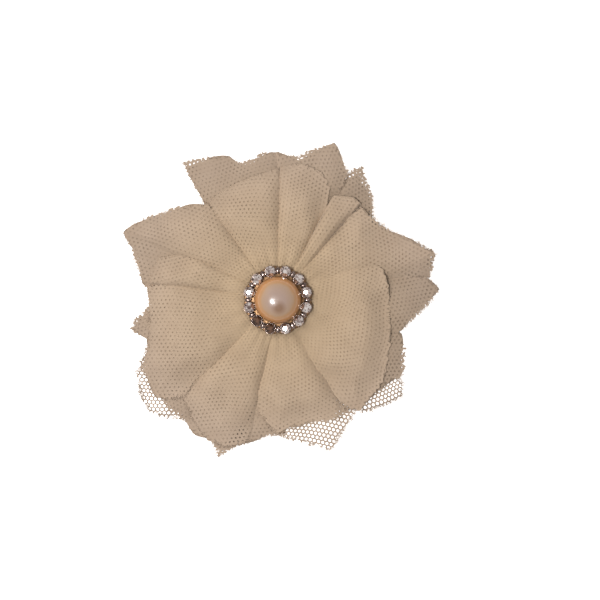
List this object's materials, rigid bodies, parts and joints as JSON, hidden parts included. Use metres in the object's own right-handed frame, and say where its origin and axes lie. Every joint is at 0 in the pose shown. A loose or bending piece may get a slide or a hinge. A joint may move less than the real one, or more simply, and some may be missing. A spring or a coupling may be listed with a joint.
{
  "type": "flower hair clip",
  "caption": "Tulle flower hair clip: two tiers of folded netting petals round a pearl and rhinestone button, on a felt-backed sprung alligator clip.",
  "frame": {"origin": "on the flower's axis, at the outer flat face of the lower clip arm, the arm that slides into the hair", "axes": "+Z out of the flower's face, +X along the clip from its finger levers to its tip, +Y across the clip"},
  "size_m": [0.0942, 0.093, 0.0192],
  "materials": {
    "clip_steel": "satin nickel plate",
    "spring_steel": "drawn wire",
    "hot_glue": "cloudy hot-melt glue",
    "felt": "pressed felt",
    "tulle_back": "hexagonal netting, bunched",
    "tulle_front": "hexagonal netting, bunched",
    "thread": "sewing thread",
    "gold_metal": "bright gold-tone plate",
    "pearl_lacquer": "pearl lacquer",
    "silver_metal": "bright silver-tone plate",
    "rhinestone_glass": "faceted, foil-backed"
  },
  "bodies": {
    "flower": {"upper_jaw": "clip_steel", "hinge_pin": "clip_steel", "torsion_spring": "spring_steel", "clip_glue": "hot_glue", "felt_backing": "felt", "flower_glue": "hot_glue", "back_petal_1": "tulle_back", "back_petal_2": "tulle_back", "back_petal_3": "tulle_back", "back_petal_4": "tulle_back", "back_petal_5": "tulle_back", "back_petal_6": "tulle_back", "back_petal_7": "tulle_back", "back_petal_8": "tulle_back", "back_petal_9": "tulle_back", "back_petal_10": "tulle_back", "back_petal_11": "tulle_back", "front_petal_1": "tulle_front", "front_petal_2": "tulle_front", "front_petal_3": "tulle_front", "front_petal_4": "tulle_front", "front_petal_5": "tulle_front", "front_petal_6": "tulle_front", "front_petal_7": "tulle_front", "front_petal_8": "tulle_front", "front_petal_9": "tulle_front", "front_petal_10": "tulle_front", "back_gathering_thread": "thread", "front_gathering_thread": "thread", "button_glue": "hot_glue", "button_base": "gold_metal", "pearl_seat": "gold_metal", "pearl": "pearl_lacquer", "stone_cups": "silver_metal", "rhinestones": "rhinestone_glass"},
    "lower_jaw": {"lower_jaw": "clip_steel"}
  },
  "joints": [
    {"name": "jaw_hinge", "type": "hinge", "parent": "flower", "child": "lower_jaw", "pos_m": [-0.014, 0, 0.00235], "axis": [0, 1, 0], "range_deg": [0, 24], "stiffness_Nm_per_rad": 0.02, "springref_deg": -68.75, "deforming": ["torsion_spring"]}
  ]
}
